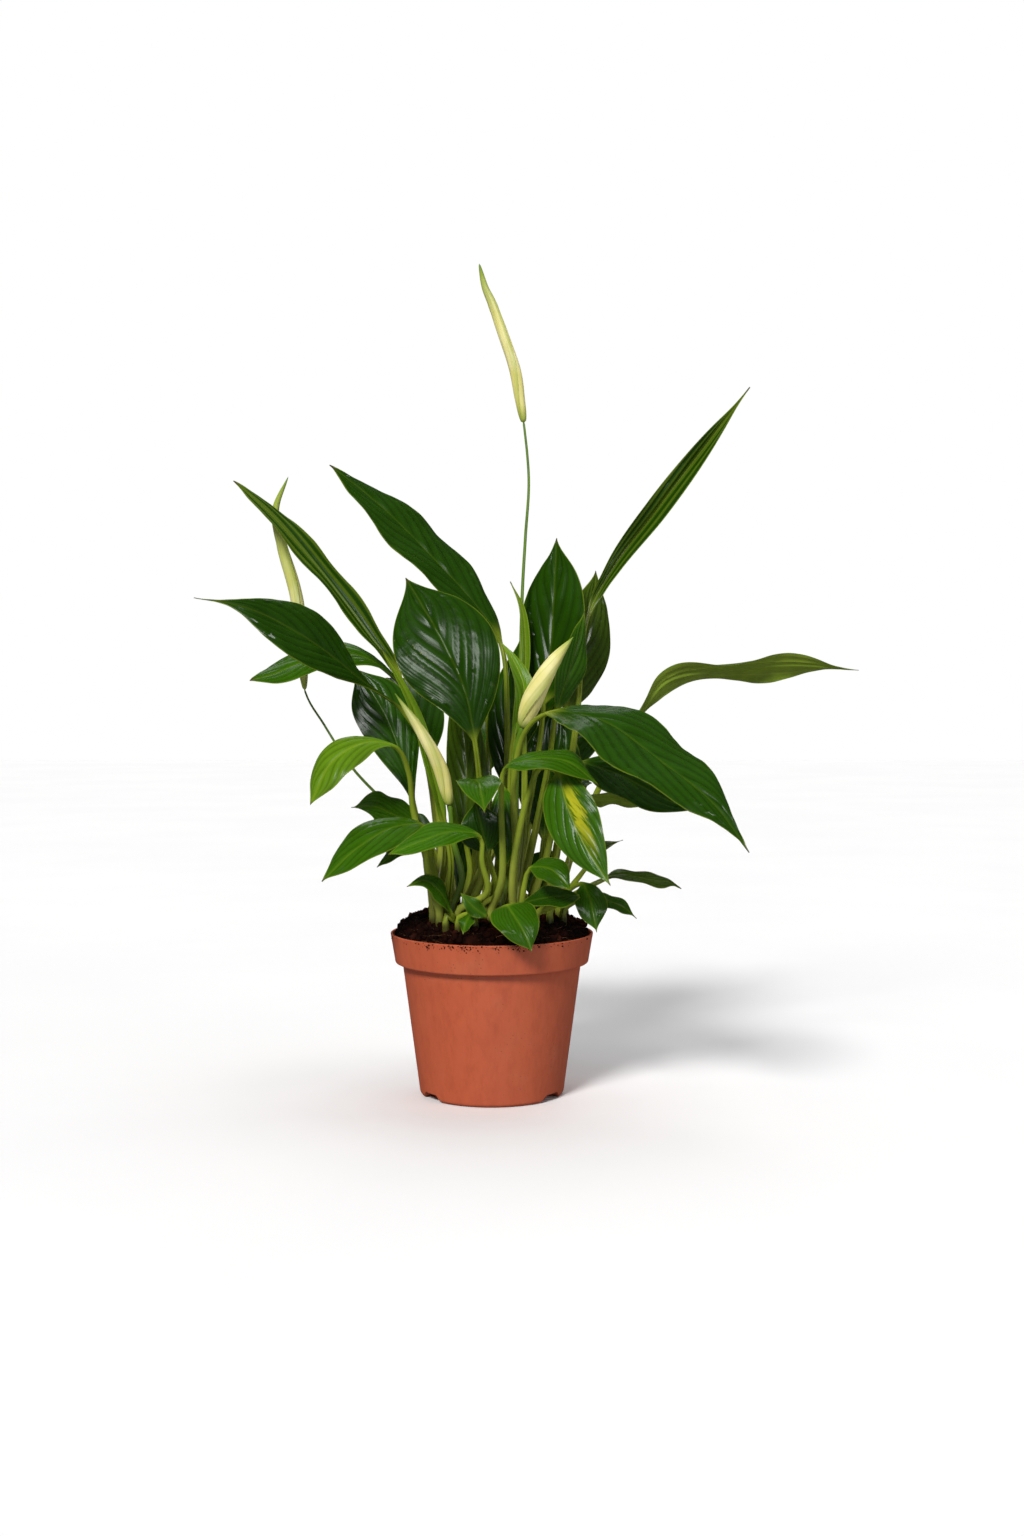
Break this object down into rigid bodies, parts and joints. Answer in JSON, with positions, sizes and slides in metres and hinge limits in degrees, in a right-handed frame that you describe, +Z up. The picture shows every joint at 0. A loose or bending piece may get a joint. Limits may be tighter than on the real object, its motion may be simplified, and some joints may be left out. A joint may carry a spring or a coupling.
{
  "type": "potted peace lily",
  "caption": "Peace lily with long waved leaves and closed spathes on thin stalks, in a round terracotta-coloured nursery pot of soil.",
  "frame": {"origin": "centre of the pot's underside, which is flat on the surface it stands on", "axes": "+Z up along the pot's axis; -Y towards the plant's front, as in the picture; +X to the plant's right as seen from the front"},
  "size_m": [0.3794, 0.2638, 0.4931],
  "materials": {
    "pot": "matte",
    "soil": "matte",
    "leaf_dark": "satin",
    "leaf_mid": "satin",
    "leaf_light": "satin",
    "leaf_olive": "satin",
    "flower_stalk": "satin",
    "spathe": "satin"
  },
  "bodies": {
    "root": {"flower_far_left_spathe": "spathe", "flower_far_left_stalk": "flower_stalk", "flower_left_spathe": "spathe", "flower_left_stalk": "flower_stalk", "flower_right_spathe": "spathe", "flower_right_stalk": "flower_stalk", "flower_tall_spathe": "spathe", "flower_tall_stalk": "flower_stalk", "leaf_back_left": "leaf_dark", "leaf_back_low": "leaf_mid", "leaf_back_low_left": "leaf_mid", "leaf_back_low_right": "leaf_mid", "leaf_back_mid": "leaf_dark", "leaf_back_mid_right": "leaf_dark", "leaf_back_right": "leaf_dark", "leaf_back_tall": "leaf_dark", "leaf_broad_front": "leaf_dark", "leaf_centre_hanging": "leaf_mid", "leaf_centre_low": "leaf_dark", "leaf_centre_right": "leaf_mid", "leaf_centre_shadow": "leaf_dark", "leaf_centre_upright": "leaf_dark", "leaf_far_left": "leaf_dark", "leaf_far_right": "leaf_olive", "leaf_front_arching": "leaf_mid", "leaf_front_right": "leaf_dark", "leaf_front_streaked": "leaf_light", "leaf_inner_right": "leaf_dark", "leaf_left_back": "leaf_dark", "leaf_left_curled": "leaf_light", "leaf_left_hanging": "leaf_dark", "leaf_left_tipped": "leaf_mid", "leaf_low_left": "leaf_mid", "leaf_low_left_light": "leaf_mid", "leaf_low_left_small": "leaf_mid", "leaf_low_left_under": "leaf_mid", "leaf_olive_upright": "leaf_olive", "leaf_right_back": "leaf_olive", "leaf_right_olive": "leaf_olive", "leaf_right_shaded": "leaf_dark", "leaf_rolled_left": "leaf_light", "leaf_soil_back_left": "leaf_dark", "leaf_soil_back_right": "leaf_dark", "leaf_soil_centre": "leaf_mid", "leaf_soil_front": "leaf_mid", "leaf_soil_left": "leaf_mid", "leaf_soil_left_oval": "leaf_mid", "leaf_soil_left_pale": "leaf_mid", "leaf_soil_right_dark": "leaf_dark", "leaf_soil_right_drooping": "leaf_mid", "leaf_soil_right_dry": "leaf_olive", "leaf_soil_right_long": "leaf_olive", "leaf_soil_right_low": "leaf_mid", "leaf_tall_bract": "leaf_light", "leaf_toward_front": "leaf_mid", "leaf_upper_left": "leaf_dark", "leaf_upper_right": "leaf_dark", "leaf_young_centre": "leaf_light", "pot": "pot", "soil": "soil"}
  },
  "joints": []
}
